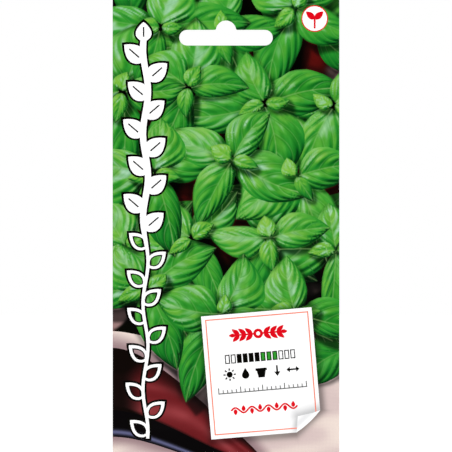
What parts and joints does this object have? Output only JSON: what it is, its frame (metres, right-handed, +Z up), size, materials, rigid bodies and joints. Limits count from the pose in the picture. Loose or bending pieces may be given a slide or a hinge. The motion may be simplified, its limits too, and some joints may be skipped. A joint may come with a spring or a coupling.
{
  "type": "seed packet",
  "caption": "Flat rectangular paper seed packet with a euro hang slot through its header, sealed round a shallow pocket with loose seeds at the bottom.",
  "frame": {"origin": "highest point of the euro slot, midway between the two panels, where a peg carries the packet", "axes": "+Z up as the packet hangs, -Y out of the printed front, +X to the right of the printed front"},
  "size_m": [0.08, 0.003, 0.16],
  "materials": {
    "printed_front": "satin laminated printed paper",
    "printed_back": "uncoated white paper with plain print",
    "seed_coat": "matt dark brown seed coat"
  },
  "bodies": {
    "root": {"front_panel": "printed_front", "back_panel": "printed_back", "seeds": "seed_coat"}
  },
  "joints": []
}
